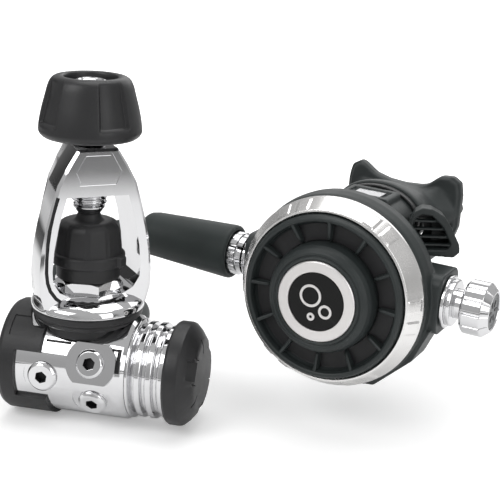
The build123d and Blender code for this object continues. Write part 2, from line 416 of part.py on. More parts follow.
root_out = [(40.2, 3.0), (54.0, 5.0), (58.0, 14.0), (56.5, 24.0), (52.0, 30.0), (40.2, 33.0)]
root_in = [(42.4, 5.4), (52.6, 7.0), (55.8, 14.5), (54.4, 23.0), (50.8, 28.0), (42.4, 30.6)]
tip_out = [(37.5, 14.0), (47.5, 12.0), (56.0, 17.0), (57.0, 24.0), (50.0, 34.0), (39.0, 37.5)]
tip_in = [(39.9, 16.4), (47.2, 14.4), (53.8, 18.2), (54.6, 23.6), (48.6, 31.8), (41.0, 34.7)]
centre = block(-20.5, 20.5, 39.3, 54.0, -22.0, 10.4)
left_o = loft([section(low(root_out), -20.5), section(low(tip_out), -38.0)], ruled=True)
left_i = loft([section(low(root_in), -20.4), section(low(tip_in), -38.2)], ruled=True)
# right wing: a bend from the side duct to the outlet's frame
right_o = loft([section(root_out, 20.5), section([(41.0, 12.0), (52.0, 12.0), (57.5, 18.0), (56.5, 25.0), (50.0, 33.0), (41.0, 35.0)], 31.0)], ruled=True)
right_i = loft([section(root_in, 20.4), section([(43.0, 14.4), (50.8, 14.4), (54.6, 18.8), (53.8, 24.2), (48.6, 30.6), (43.0, 32.2)], 28.6)], ruled=True)
hood = loft([outlet_face(outlet_out, 0.0), outlet_face([(0.86 * u + 2.0, 0.86 * v + 0.6) for u, v in outlet_out], -11.0)], ruled=True)
hood_in = loft([outlet_face(outlet_in, 0.2), outlet_face([(0.8 * u + 2.0, 0.8 * v + 0.6) for u, v in outlet_in], -9.0)], ruled=True)
tee = centre + right_o + left_o + hood
tee -= block(-18.0, 18.0, 38.0, 51.6, -19.6, 8.2)
tee -= block(-22.0, 22.0, 42.6, 51.0, 7.0, 10.4 - 2.2)
tee -= right_i + left_i
tee -= hood_in
tee -= Plane(origin=(0, 26, MOUTH_Z), x_dir=(1, 0, 0), z_dir=(0, 1, 0)) * extrude(Ellipse(19.6, 13.3), 40.0)
tee -= Plane(origin=(0, 51.6, MOUTH_Z), x_dir=(1, 0, 0), z_dir=(0, 1, 0)) * extrude(Ellipse(23.2, 16.6), 20.0)
tee -= block(-3.2, 3.2, 51.6, 60, MOUTH_Z - 19.0, MOUTH_Z)
for v in (-5.2, -1.6, 2.0, 5.6):
    bar = OUTLET * block(-16, 12, v, v + 1.0, -4.2, -0.9)
    tee += bar & hood
for zz in (9.0, 12.6, 16.2):
    tee += block(-36.4, -30, 41.0, 53.0, zz, zz + 1.0)
# clear of the case and the barrel housing
tee -= block(-48, 48, 10, 39.3, BARREL_Z - 13.7, BARREL_Z + 13.7)
tee -= FACE * revolved([(0, 9), (CASE_R + 0.4, 9), (CASE_R + 0.4, 21.2), (42.0, 26.2), (38.8, 30.8), (33.9, 34.9), (26.2, 38.1), (16, 39.25), (0, 39.25)])
put("exhaust_tee", *sorted(tee.solids(), key=lambda q: -q.volume)[:1])

# mouthpiece: soft sleeve over the tube, bite plate with two wings and tabs
MP = Plane(origin=(0, 0, MOUTH_Z), x_dir=(1, 0, 0), z_dir=(0, 1, 0))


def oval(a, b, y):
    return Plane(origin=(0, y, MOUTH_Z), x_dir=(1, 0, 0), z_dir=(0, 1, 0)) * Ellipse(a, b)


def lip(points, y):
    return Plane(origin=(0, y, MOUTH_Z), x_dir=(1, 0, 0), z_dir=(0, 1, 0)) * make_face(Polyline(*points, close=True))


# outline of the bite plate, seen along the tube: raised corners with a dip between them
lip_half = [(0, -10.2), (7.0, -10.8), (15.0, -13.2), (21.0, -13.8), (24.6, -11.6), (26.0, -7.0), (26.0, 6.0), (24.6, 10.8), (21.0, 12.8), (15.0, 12.2), (7.0, 11.0), (0, 10.6)]
lip_outline = lip_half + [(-x, z) for x, z in reversed(lip_half[1:-1])]
mouth = loft([oval(21.6, 15.4, 56.2), oval(22.0, 15.0, 62.0), oval(21.0, 12.2, 70.0), oval(24.0, 10.5, 78.0), oval(25.0, 11.0, 82.0)])
mouth += extrude(lip([(0.94 * x, 0.94 * z) for x, z in lip_outline], 80.2), 1.4)
mouth += extrude(lip(lip_outline, 81.4), 4.4)
mouth += extrude(lip([(0.96 * x, 0.96 * z) for x, z in lip_outline], 85.6), 1.0)
mouth -= loft([oval(16.5, 10.3, 56.0), oval(16.0, 8.0, 68.0), oval(18.0, 5.0, 90.0)])
mouth += loft([oval(25.0, 9.6, 85.0), oval(24.0, 8.6, 95.0)]) - loft([oval(17.0, 5.0, 84.0), oval(18.0, 13.0, 98.0)]) - block(-14, 14, 86.6, 99, MOUTH_Z - 20, MOUTH_Z + 20)
put("mouthpiece", mouth)
put("mouthpiece_clamp", MP * (extrude(Pos(0, 0, 52.2) * Ellipse(20.8, 14.5), 3.6) - extrude(Pos(0, 0, 52.0) * Ellipse(19.55, 13.25), 4.4)) + block(-2.2, 2.2, 52.4, 55.6, MOUTH_Z - 17.4, MOUTH_Z - 14.2))

# =====================================================================
# Hose between the rear low-pressure port and the barrel
# =====================================================================
AX0 = Vector(*RIM_CENTRE) + Y2 * BARREL_Y + Z2 * BARREL_Z     # barrel axis, middle


def on_axis(s):
    return AX0 + X2 * s


SWIVEL = Plane(origin=(AX0.X, AX0.Y, AX0.Z), x_dir=(Z2.X, Z2.Y, Z2.Z), z_dir=(X2.X, X2.Y, X2.Z))
# swivel nut: hex towards the case, knurled ring towards the sleeve
snut = revolved([(6.1, -57.6), (9.6, -57.6), (10.1, -57.1), (10.1, -53.2), (9.7, -52.8), (9.3, -52.6), (9.3, -50.2), (6.1, -50.2)])
for k in range(20):
    snut -= Rot(0, 0, 18 * k) * cyl(0.45, -58, -52.9, 10.3, 0)
save("hose_swivel_nut", SWIVEL * snut)
# end fitting: a stem that carries the nut and enters the hose, crimped ferrule round it
fit = revolved([(1.8, -78.0), (2.9, -78.0), (2.9, -60.65), (5.9, -60.55), (5.9, -50.3), (1.8, -50.3)])
save("hose_swivel_fitting", SWIVEL * fit)
save("hose_ferrule_swivel", SWIVEL * revolved([(HOSE_R + GAP, -78.0), (7.4, -78.0), (7.7, -77.2), (7.7, -61.6), (7.2, -60.7), (HOSE_R + GAP, -60.7)]))
# protector sleeve, wider at the nut, rounded at the hose
save("hose_sleeve", SWIVEL * revolved([(7.75, -104.9 + 34), (7.75, -58.9), (10.3, -58.4), (10.6, -57.0), (11.7, -56.9), (12.4, -57.8), (12.5, -59.0), (10.5, -100.4), (9.6, -103.6), (8.4, -104.8), (HOSE_R + GAP, -104.9), (HOSE_R + GAP, -78.6), (7.75, -78.2)]))

fitting_start = 22.35
lpf = hexagon(17.5, fitting_start, 29.6, 12) & revolved([(0, 22), (9.6, 22), (10.0, 22.8), (10.0, 29.0), (9.4, 29.6), (0, 29.6)])
lpf += cyl(LP_PORT_R - 0.04, 12.5, 22.6)
lpf += cyl(2.9, 29.0, 46.0)
lpf += cyl(6.9, 29.4, 31.4)
lpf -= cyl(1.8, 10, 50)
save("hose_fitting_lp", LP_HOSE * lpf)
save("hose_ferrule_lp", LP_HOSE * revolved([(HOSE_R + GAP, 31.5), (7.2, 31.5), (7.7, 32.2), (7.7, 47.2), (7.2, 48.0), (HOSE_R + GAP, 48.0)]))

# centre line: out of the rear port, along the table, round a U-bend, back to the sleeve
a = radians(195.0)
pdir = Vector(0, -cos(a), sin(a))
P_START = Vector(LP_X, 0, 0) + pdir * 31.6
P_OUT = Vector(LP_X, 0, 0) + pdir * 49.0
S_END = on_axis(-60.7)
S_OUT = on_axis(-106.5)
G = Vector(-10.2, 68.4, 40.3)         # where the hose flexes, just past the sleeve
G_DIR = Vector(-0.87, 0.26, -0.41).normalized()
low_path = [P_OUT, Vector(2, 72, -16.9), Vector(-8, 92, -17.1), Vector(-11, 109, -17.1), Vector(-18.5, 125.5, -17.1), Vector(-36.5, 133, -17.0), Vector(-54.5, 125.5, -16.2), Vector(-62, 108, -13), Vector(-57, 91, -5), Vector(-44, 79.5, 11)]
gap_half = 1.2
G_LOW = G + G_DIR * gap_half
G_UP = G - G_DIR * gap_half
low_curve = Spline(*[tuple(p) for p in low_path + [G_LOW]], tangents=[tuple(pdir), tuple(G_DIR * -1)])
low_wire = Wire([Line(tuple(P_START), tuple(P_OUT)), low_curve])
up_curve = Spline(tuple(G_UP), tuple(S_OUT), tangents=[tuple(G_DIR * -1), tuple(X2)])
up_wire = Wire([up_curve, Line(tuple(S_OUT), tuple(S_END))])
low_face = Plane(origin=P_START, z_dir=pdir) * (Circle(HOSE_R) - Circle(3.0))
up_face = Plane(origin=G_UP, z_dir=G_DIR * -1) * (Circle(HOSE_R) - Circle(3.0))
hose_low = sweep(low_face, path=low_wire)
hose_up = sweep(up_face, path=up_wire)
save("hose_lower", hose_low)
save("hose_upper", hose_up)
print(len(made), "nodes")
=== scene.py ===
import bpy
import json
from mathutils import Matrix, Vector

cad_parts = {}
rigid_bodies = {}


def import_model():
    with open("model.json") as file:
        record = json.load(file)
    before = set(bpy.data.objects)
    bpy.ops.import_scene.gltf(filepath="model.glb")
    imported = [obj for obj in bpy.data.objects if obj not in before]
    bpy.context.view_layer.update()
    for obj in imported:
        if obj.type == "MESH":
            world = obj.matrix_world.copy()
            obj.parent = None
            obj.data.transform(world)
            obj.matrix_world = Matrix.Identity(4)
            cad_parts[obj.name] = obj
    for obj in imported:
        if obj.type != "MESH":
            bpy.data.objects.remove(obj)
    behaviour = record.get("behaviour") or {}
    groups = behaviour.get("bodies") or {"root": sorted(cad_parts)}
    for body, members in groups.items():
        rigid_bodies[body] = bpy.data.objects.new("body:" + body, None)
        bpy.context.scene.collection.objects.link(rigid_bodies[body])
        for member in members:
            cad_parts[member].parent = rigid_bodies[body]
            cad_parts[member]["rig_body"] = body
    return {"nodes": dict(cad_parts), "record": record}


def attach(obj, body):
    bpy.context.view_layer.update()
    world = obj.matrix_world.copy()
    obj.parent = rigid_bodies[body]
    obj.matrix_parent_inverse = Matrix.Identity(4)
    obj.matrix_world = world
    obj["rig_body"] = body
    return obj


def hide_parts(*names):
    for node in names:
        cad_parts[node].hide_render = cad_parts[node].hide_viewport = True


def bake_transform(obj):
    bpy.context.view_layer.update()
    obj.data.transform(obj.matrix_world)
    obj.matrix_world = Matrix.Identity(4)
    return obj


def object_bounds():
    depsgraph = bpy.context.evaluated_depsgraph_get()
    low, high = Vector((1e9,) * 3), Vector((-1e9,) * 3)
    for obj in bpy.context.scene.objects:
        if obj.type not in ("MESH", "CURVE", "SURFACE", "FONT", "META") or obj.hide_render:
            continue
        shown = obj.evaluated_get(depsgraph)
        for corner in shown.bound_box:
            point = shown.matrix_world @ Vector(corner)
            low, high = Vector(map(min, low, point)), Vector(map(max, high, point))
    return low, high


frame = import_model()
cad_box = [list(v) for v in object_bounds()]

import json
import math
import bmesh
import bpy
import numpy as np
from mathutils import Matrix, Vector

MM = 0.001
record = frame["record"]

# ---------------------------------------------------------------- frames, in millimetres
RIM = Vector((102.1, 12.8, 38.3))
yaw, dip = math.radians(-13.6), math.radians(-2.1)
X2 = Vector((math.cos(dip) * math.cos(yaw), math.cos(dip) * math.sin(yaw), math.sin(dip)))
Y2 = Vector((-math.sin(yaw), math.cos(yaw), 0.0))
Z2 = X2.cross(Y2)


def matrix(o, x, y, z):
    return Matrix(((x[0], y[0], z[0], o[0]), (x[1], y[1], z[1], o[1]), (x[2], y[2], z[2], o[2]), (0, 0, 0, 1)))


ROW = Matrix.Identity(4)
ALONG_X = matrix((0, 0, 0), (0, 1, 0), (0, 0, 1), (1, 0, 0))          # turned about the body's axis
SECOND = matrix(RIM, X2, Y2, Z2)
FACE = SECOND @ matrix((0, 0, 0), (1, 0, 0), (0, 0, -1), (0, 1, 0))    # turned about the cover's axis
BARREL = SECOND @ matrix((0, 27.0, 1.4), (0, 1, 0), (0, 0, 1), (1, 0, 0))
MOUTH = SECOND @ matrix((0, 0, 25.0), (1, 0, 0), (0, 0, -1), (0, 1, 0))
YOKE = Matrix.Rotation(math.radians(38.0), 4, "Z")


def port(x, angle):
    a = math.radians(angle)
    z = Vector((0, -math.cos(a), math.sin(a)))
    x_ = Vector((1, 0, 0))
    return matrix((x, 0, 0), x_, z.cross(x_), z)


# ---------------------------------------------------------------- materials
class Nodes:
    def __init__(self, name):
        self.mat = bpy.data.materials.new(name)
        self.mat.use_nodes = True
        self.t = self.mat.node_tree
        self.t.nodes.clear()
        self.out = self.t.nodes.new("ShaderNodeOutputMaterial")
        self.b = self.t.nodes.new("ShaderNodeBsdfPrincipled")
        self.t.links.new(self.b.outputs[0], self.out.inputs["Surface"])
        self.geo = self.t.nodes.new("ShaderNodeNewGeometry")
        self.pos = self.t.nodes.new("ShaderNodeTexCoord").outputs["Object"]

    def set(self, **kw):
        for k, v in kw.items():
            self.b.inputs[k.replace("_", " ")].default_value = v

    def noise(self, scale, detail=4.0, rough=0.55, stretch=None, distortion=0.0):
        n = self.t.nodes.new("ShaderNodeTexNoise")
        n.inputs["Scale"].default_value = scale
        n.inputs["Detail"].default_value = detail
        n.inputs["Roughness"].default_value = rough
        n.inputs["Distortion"].default_value = distortion
        src = self.pos
        if stretch:
            m = self.t.nodes.new("ShaderNodeMapping")
            m.inputs["Scale"].default_value = stretch
            self.t.links.new(src, m.inputs["Vector"])
            src = m.outputs[0]
        self.t.links.new(src, n.inputs["Vector"])
        return n.outputs["Fac"]

    def voronoi(self, scale, feature="F1"):
        n = self.t.nodes.new("ShaderNodeTexVoronoi")
        n.feature = feature
        n.inputs["Scale"].default_value = scale
        self.t.links.new(self.pos, n.inputs["Vector"])
        return n.outputs["Distance"]

    def ramp(self, fac, *stops):
        r = self.t.nodes.new("ShaderNodeValToRGB")
        while len(r.color_ramp.elements) < len(stops):
            r.color_ramp.elements.new(0.5)
        for e, (p, c) in zip(r.color_ramp.elements, stops):
            e.position = p
            e.color = (c, c, c, 1) if not hasattr(c, "__len__") else (*c, 1)
        self.t.links.new(fac, r.inputs["Fac"])
        return r.outputs["Color"]

    def mapped(self, fac, lo, hi, a=0.3, b=0.7):
        m = self.t.nodes.new("ShaderNodeMapRange")
        m.inputs["From Min"].default_value = a
        m.inputs["From Max"].default_value = b
        m.inputs["To Min"].default_value = lo
        m.inputs["To Max"].default_value = hi
        self.t.links.new(fac, m.inputs["Value"])
        return m.outputs["Result"]

    def mix(self, fac, a, b, kind="MIX"):
        m = self.t.nodes.new("ShaderNodeMix")
        m.data_type = "RGBA"
        m.blend_type = kind
        for sock, v in ((m.inputs["Factor"], fac), (m.inputs[6], a), (m.inputs[7], b)):
            if hasattr(v, "is_output"):
                self.t.links.new(v, sock)
            elif hasattr(v, "__len__"):
                sock.default_value = (*v, 1)
            else:
                sock.default_value = v
        return m.outputs[2]

    def math(self, op, a, b=0.5):
        m = self.t.nodes.new("ShaderNodeMath")
        m.operation = op
        for sock, v in ((m.inputs[0], a), (m.inputs[1], b)):
            if hasattr(v, "is_output"):
                self.t.links.new(v, sock)
            else:
                sock.default_value = v
        return m.outputs[0]

    def edges(self, lo=0.52, hi=0.62):
        return self.mapped(self.geo.outputs["Pointiness"], 0.0, 1.0, lo, hi)

    def to(self, socket, name):
        self.t.links.new(socket, self.b.inputs[name])

    def bump(self, height, distance, strength=1.0, base=None):
        m = self.t.nodes.new("ShaderNodeBump")
        m.inputs["Strength"].default_value = strength
        m.inputs["Distance"].default_value = distance
        self.t.links.new(height, m.inputs["Height"])
        if base is not None:
            self.t.links.new(base, m.inputs["Normal"])
        self.t.links.new(m.outputs[0], self.b.inputs["Normal"])
        return m.outputs[0]


def metal(name, colour, rough, spread=0.05, brushed=None, wear=0.0, tint=None):
    n = Nodes(name)
    n.set(Metallic=1.0)
    tone = n.noise(60, 5)
    base = n.mix(n.mapped(tone, 0, 1), [c * 0.965 for c in colour], colour)
    if tint:
        base = n.mix(n.mapped(n.noise(25, 3), 0, 0.35), base, tint)
    n.to(base, "Base Color")
    scratch = n.noise(420, 3, 0.6, stretch=(1, 7, 7), distortion=0.4)
    cloud = n.mapped(n.noise(95, 6, 0.62), rough, rough + spread)
    fine = n.mapped(scratch, 0.0, spread * 0.7, 0.52, 0.75)
    n.to(n.math("ADD", cloud, fine), "Roughness")
    if brushed:
        n.bump(n.noise(1500, 2, 0.6, stretch=brushed), 0.00004, 0.35)
    else:
        n.bump(n.noise(300, 3, 0.5), 0.000010, 0.10 + wear)
    return n.mat


def plastic(name, colour, rough, grain=3200, height=0.00003, spread=0.07, sheen=0.0, spec=0.45, edge_sheen_and_wear=1.35, mottle=0.12):
    n = Nodes(name)
    tone = n.noise(70, 5)
    lighter = [min(1, c * (1 + mottle)) for c in colour]
    darker = [c * (1 - mottle) for c in colour]
    base = n.mix(n.mapped(tone, 0, 1), darker, lighter)
    # lighter at pointed edges: a painted edge highlight, partly edge wear
    base = n.mix(n.edges(), base, [min(1, c * edge_sheen_and_wear + 0.004) for c in colour])
    n.to(base, "Base Color")
    r = n.mapped(n.noise(130, 6, 0.6), rough - spread / 2, rough + spread / 2)
    n.to(r, "Roughness")
    n.set(IOR=1.48)
    n.b.inputs["Specular IOR Level"].default_value = spec
    if sheen:
        n.b.inputs["Sheen Weight"].default_value = sheen
        n.b.inputs["Sheen Roughness"].default_value = 0.5
    g = n.math("ADD", n.math("MULTIPLY", n.voronoi(grain), 0.7), n.math("MULTIPLY", n.noise(grain * 0.45, 3), 0.8))
    n.bump(g, height, 0.5)
    return n.mat


MATS = {
    "chrome": metal("chrome_plating", (0.76, 0.76, 0.77), 0.035, 0.045),
    "satin_steel": metal("satin_steel", (0.60, 0.60, 0.61), 0.24, 0.10, brushed=(1, 9, 9)),
    "spring_steel": metal("spring_wire", (0.46, 0.46, 0.48), 0.28, 0.10, brushed=(1, 5, 5)),
    "brass": metal("machined_brass", (0.72, 0.54, 0.27), 0.22, 0.10, brushed=(2, 9, 9), tint=(0.52, 0.36, 0.18)),
    "bronze": plastic("sintered_bronze", (0.42, 0.27, 0.14), 0.55, grain=1400, height=0.00025, spec=0.8),
    "black_plastic": plastic("black_moulding", (0.020, 0.020, 0.021), 0.38, grain=3400, height=0.000035, spec=0.42),
    "black_gloss": plastic("black_gloss", (0.02, 0.02, 0.021), 0.16, grain=2600, height=0.00001),
    "black_rubber": plastic("black_rubber", (0.019, 0.019, 0.020), 0.45, grain=2600, height=0.00004, sheen=0.05, spec=0.38),
    "case_plastic": plastic("case_plastic", (0.022, 0.027, 0.027), 0.43, grain=3000, height=0.00004, spec=0.38),
    "hose_rubber": plastic("hose_rubber", (0.024, 0.031, 0.030), 0.50, grain=2800, height=0.00003, sheen=0.06, spec=0.33),
    "silicone_dark": plastic("dark_silicone", (0.028, 0.033, 0.033), 0.47, grain=2200, height=0.00003, sheen=0.10, spec=0.36),
    "silicone_clear": plastic("clear_silicone", (0.50, 0.51, 0.50), 0.35, grain=1800, height=0.00002),
    "nylon": plastic("natural_nylon", (0.68, 0.67, 0.62), 0.42, grain=1800, height=0.00003),
    "grey_disc": plastic("grey_disc", (0.16, 0.165, 0.17), 0.38, grain=2600, height=0.00003),
    "emblem_silver": metal("emblem_silver", (0.80, 0.78, 0.77), 0.36, 0.08),
    "cover_silver": metal("cover_silver", (0.86, 0.85, 0.84), 0.21, 0.07),
    "emblem_black": plastic("emblem_black", (0.004, 0.004, 0.004), 0.38, grain=2600, height=0.00001, spec=0.25),
    # near-black colour for groove and socket floors: painted shade, not the parts' own colour
    "painted_shade_dark": plastic("painted_groove_shade", (0.006, 0.006, 0.007), 0.5, grain=2600, height=0.00003),
}


# ---------------------------------------------------------------- mesh tools
def shade(bm, angle):
    for f in bm.faces:
        f.smooth = True
    for e in bm.edges:
        e.smooth = len(e.link_faces) != 2 or e.calc_face_angle(0.0) < angle


def link(me, name, mat, weighted=True):
    ob = bpy.data.objects.new(name, me)
    bpy.context.scene.collection.objects.link(ob)
    me.materials.clear()
    for m in (mat if isinstance(mat, (list, tuple)) else [mat]):
        me.materials.append(m)
    if weighted:
        w = ob.modifiers.new("normals", "WEIGHTED_NORMAL")
        w.keep_sharp = True
        w.weight = 60
    return ob


def from_points(name, verts, faces, mat, sharp=34, merge=1e-6, weighted=True):
    me = bpy.data.meshes.new(name)
    me.from_pydata([tuple(v) for v in verts], [], faces)
    bm = bmesh.new()
    bm.from_mesh(me)
    bmesh.ops.remove_doubles(bm, verts=bm.verts, dist=merge)
    bmesh.ops.dissolve_degenerate(bm, edges=bm.edges, dist=merge)
    bmesh.ops.recalc_face_normals(bm, faces=bm.faces)
    shade(bm, math.radians(sharp))
    bm.to_mesh(me)
    bm.free()
    return link(me, name, mat, weighted)


def fil(points, default=0.3, k=4):
    """Rounds the corners of a closed (radius, height[, rounding]) outline."""
    out, n = [], len(points)
    for i, p in enumerate(points):
        rr = p[2] if len(p) > 2 else default
        if p[0] <= 1e-9 or rr <= 0:
            out.append((p[0], p[1]))
            continue
        a, b, c = (np.array(q[:2], float) for q in (points[i - 1], p, points[(i + 1) % n]))
        u, v = a - b, c - b
        lu, lv = np.linalg.norm(u), np.linalg.norm(v)
        u, v = u / lu, v / lv
        ang = math.acos(max(-1, min(1, float(u @ v))))
        if ang > math.pi - 0.06:
            out.append(tuple(b))
            continue
        t = min(rr / math.tan(ang / 2), lu * 0.46, lv * 0.46)
        for s in np.linspace(0, 1, k + 1):
            out.append(tuple((1 - s) ** 2 * (b + u * t) + 2 * s * (1 - s) * b + s * s * (b + v * t)))
    return out


def turned(name, profile, frame_, mat, n=160, sharp=34, warp=None):
    """A turned piece: profile is a closed outline, or a function of the angle; warp moves a finished point."""
    rings, verts, faces = [], [], []
    for i in range(n):
        a = 2 * math.pi * i / n
        prof = profile(a) if callable(profile) else profile
        m = len(prof)
        ca, sa = math.cos(a), math.sin(a)
        for r, z in prof:
            p = Vector((r * ca, r * sa, z))
            if warp:
                p = Vector(warp(p, a))
            verts.append((frame_ @ p) * MM)
    for i in range(n):
        j = (i + 1) % n
        for k in range(m):
            l = (k + 1) % m
            faces.append((i * m + k, j * m + k, j * m + l, i * m + l))
    return from_points(name, verts, faces, mat, sharp)


def finish_cad(node, mat, bevel=0.25, segments=2, angle=26, name=None, body=None, dissolve=0.6):
    """The CAD node's own shape with its edges rounded, standing in for it."""
    src = frame["nodes"][node]
    bm = bmesh.new()
    bm.from_mesh(src.data)
    bmesh.ops.remove_doubles(bm, verts=bm.verts, dist=2e-6)
    bmesh.ops.dissolve_limit(bm, angle_limit=math.radians(dissolve), verts=bm.verts, edges=bm.edges, delimit={"NORMAL"})
    sharp = [e for e in bm.edges if len(e.link_faces) == 2 and e.calc_face_angle(0.0) > math.radians(angle)]
    if bevel:
        bmesh.ops.bevel(bm, geom=sharp, offset=bevel * MM, offset_type="OFFSET", segments=segments, profile=0.6, affect="EDGES", clamp_overlap=True, miter_outer="ARC")
    shade(bm, math.radians(38))
    me = bpy.data.meshes.new(node + "_finished")
    bm.to_mesh(me)
    bm.free()
    ob = link(me, name or node + "_finished", mat)
    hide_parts(node)
    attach(ob, body or src["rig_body"])
    return ob


def moulded(node, mat, voxel=0.5, rounds=6, factor=0.5, name=None, edit=None):
    """The CAD node's shape remeshed finely and relaxed, so every edge has a moulded radius."""
    src = frame["nodes"][node]
    me = src.data.copy()
    ob = bpy.data.objects.new(node + "_tmp", me)
    bpy.context.scene.collection.objects.link(ob)
    w = ob.modifiers.new("weld", "WELD")
    w.merge_threshold = 2e-6
    r = ob.modifiers.new("remesh", "REMESH")
    r.mode = "VOXEL"
    r.voxel_size = voxel * MM * 1.0
    s = ob.modifiers.new("smooth", "SMOOTH")
    s.factor = factor
    s.iterations = rounds
    dg = bpy.context.evaluated_depsgraph_get()
    out = bpy.data.meshes.new_from_object(ob.evaluated_get(dg))
    bpy.data.objects.remove(ob)
    co = np.empty(len(out.vertices) * 3, np.float32)
    out.vertices.foreach_get("co", co)
    if edit is not None:
        co = edit(co.reshape(-1, 3).astype(float)).astype(np.float32).ravel()
        out.vertices.foreach_set("co", co)
    out.polygons.foreach_set("use_smooth", [True] * len(out.polygons))
    out.update()
    out.name = node + "_moulded"
    piece = link(out, name or node + "_moulded", mat, weighted=False)
    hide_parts(node)
    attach(piece, src["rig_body"])
    return piece


def wedge_step(a, lo, hi, soft):
    """1 inside the angle span lo..hi (degrees), 0 outside, with soft ends."""
    d = math.degrees(a)
    mid, half = (lo + hi) / 2, (hi - lo) / 2
    off = abs((d - mid + 180) % 360 - 180)
    t = max(0.0, min(1.0, (half - off) / soft + 0.5))
    return t * t * (3 - 2 * t)


def own(ob, node):
    nodes = node if isinstance(node, (list, tuple)) else [node]
    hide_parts(*nodes)
    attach(ob, frame["nodes"][nodes[0]]["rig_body"])
    return ob


# ---------------------------------------------------------------- CAD nodes: material by slot
slots = {s["node"]: s["material_slot"] for s in record["subparts"]}
for name, ob in frame["nodes"].items():
    m = MATS.get(slots.get(name, "chrome"), MATS["chrome"])
    ob.data.materials.clear()
    ob.data.materials.append(m)

# hard pieces: the CAD shape with rounded edges
for node, bevel in (("first_stage_body", 0.35), ("yoke_frame", 0.55), ("yoke_retainer_nut", 0.3), ("high_pressure_plug", 0.18), ("lp_port_plugs", 0.18),
                    ("end_cap", 0.3), ("end_cap_membrane", 0.15), ("yoke_knob_insert", 0.2), ("valve_barrel", 0.15), ("hose_swivel_nut", 0.15),
                    ("hose_fitting_lp", 0.25), ("body_bumper", 0.5), ("hose_ferrule_lp", 0.15)):
    ob = finish_cad(node, MATS[slots[node]], bevel, 3 if bevel > 0.3 else 2)



def paint_groove_shade(ob, frame_, test):
    """Gives the groove floors of a finished piece a near-black colour: painted shade where the grooves lie in shadow.
    """
    if len(ob.data.materials) < 2:
        ob.data.materials.append(MATS["painted_shade_dark"])
    back = frame_.inverted()
    pts = [back @ (v.co / MM) for v in ob.data.vertices]
    n = 0
    for p in ob.data.polygons:
        c = [pts[i] for i in p.vertices]
        if test(c, (back.to_3x3() @ p.normal).normalized()):
            p.material_index = 1
            n += 1
    return n


# painted shade: the yoke pad's groove, the plug sockets and the body's groove get a near-black colour where they lie in
# shadow
paint_groove_shade(bpy.data.objects["yoke_frame_finished"], YOKE, lambda c, nrm: nrm.y < -0.9 and all(-11.5 < p.y < -11.38 for p in c))
for node, sockets in (("high_pressure_plug", ((port(-12.0, -1.5), 24.2),)), ("lp_port_plugs", ((port(9.7, 19.0), 25.8), (port(10.2, -27.0), 24.2)))):
    for f_, top in sockets:
        paint_groove_shade(bpy.data.objects[node + "_finished"], f_, lambda c, nrm, top=top: all(math.hypot(p.x, p.y) < 2.98 and p.z > 15 for p in c) and min(p.z for p in c) < top)
paint_groove_shade(bpy.data.objects["first_stage_body_finished"], ROW, lambda c, nrm: all(22.2 < math.hypot(p.y, p.z) < 22.37 and -12.5 < p.x < 23 for p in c))

# ---------------------------------------------------------------- first stage, turned pieces
housing = fil([(10.6, 24.25), (21.6, 24.25), (22.0, 24.7), (22.0, 25.5, 0.5), (20.4, 26.3, 0.6), (18.7, 27.0, 0.5), (18.7, 27.7, 0.5), (20.9, 28.2, 0.5), (21.2, 28.6, 0.4), (21.2, 30.2, 0.5), (20.9, 30.7, 0.4), (18.8, 31.4, 0.5), (18.8, 32.6, 0.5), (20.9, 33.2, 0.5), (21.2, 33.6, 0.4), (21.2, 35.3, 0.5), (20.9, 35.8, 0.4), (18.9, 36.5, 0.5), (18.9, 37.8, 0.5), (20.2, 38.4, 0.3), (20.4, 38.9), (20.4, 40.5, 0.1), (19.45, 40.5, 0.1), (19.45, 46.3), (10.6, 46.3)], 0.2)
own(turned("spring_housing_turned", housing, ALONG_X, MATS["chrome"], 200), "spring_housing")

PITCH = 2.0


def helix_thread(name, r_root, r_crest, z0, z1, mat, extra_top, turns_per=72):
    """A true helical thread skin between two heights, closed at both ends."""
    steps = int((z1 - z0) / PITCH * turns_per)
    prof = [(r_root, 0.0), (r_root + (r_crest - r_root) * 0.12, 0.28), (r_crest - 0.06, 0.78), (r_crest, 0.92), (r_crest, 1.08), (r_crest - 0.06, 1.22), (r_root + (r_crest - r_root) * 0.12, 1.72)]
    verts, faces = [], []
    rows = int((z1 - z0) / PITCH) + 2
    n = turns_per
    cols = []
    zs = []
    for i in range(n + 1):
        a = 2 * math.pi * i / n
        col = []
        for k in range(-1, rows):
            for r, z in prof:
                zz = z0 + k * PITCH + z + PITCH * i / n
                rr = r
                if zz < z0:
                    zz = z0
                if zz > z1:
                    zz = z1
                col.append((rr, zz))
        cols.append(col)
    m = len(cols[0])
    for i in range(n):
        a = 2 * math.pi * i / n
        for r, z in cols[i]:
            # the crest fades in the first and last half pitch
            f = min(1.0, max(0.0, (z - z0) / 0.9)) * min(1.0, max(0.0, (z1 - z) / 0.9))
            rr = r_root + (r - r_root) * f if (z - z0 < 0.9 or z1 - z < 0.9) else r
            verts.append(Vector((rr * math.cos(a), rr * math.sin(a), z)) * MM)
    per_turn = len(prof)
    for i in range(n):
        j = (i + 1) % n
        for k in range(m - 1):
            if j:
                faces.append((i * m + k, j * m + k, j * m + k + 1, i * m + k + 1))
            elif k + 1 + per_turn < m:
                faces.append((i * m + k, k + per_turn, k + 1 + per_turn, i * m + k + 1))
    ob = from_points(name, verts, faces, mat, 50, 2e-6)
    return ob


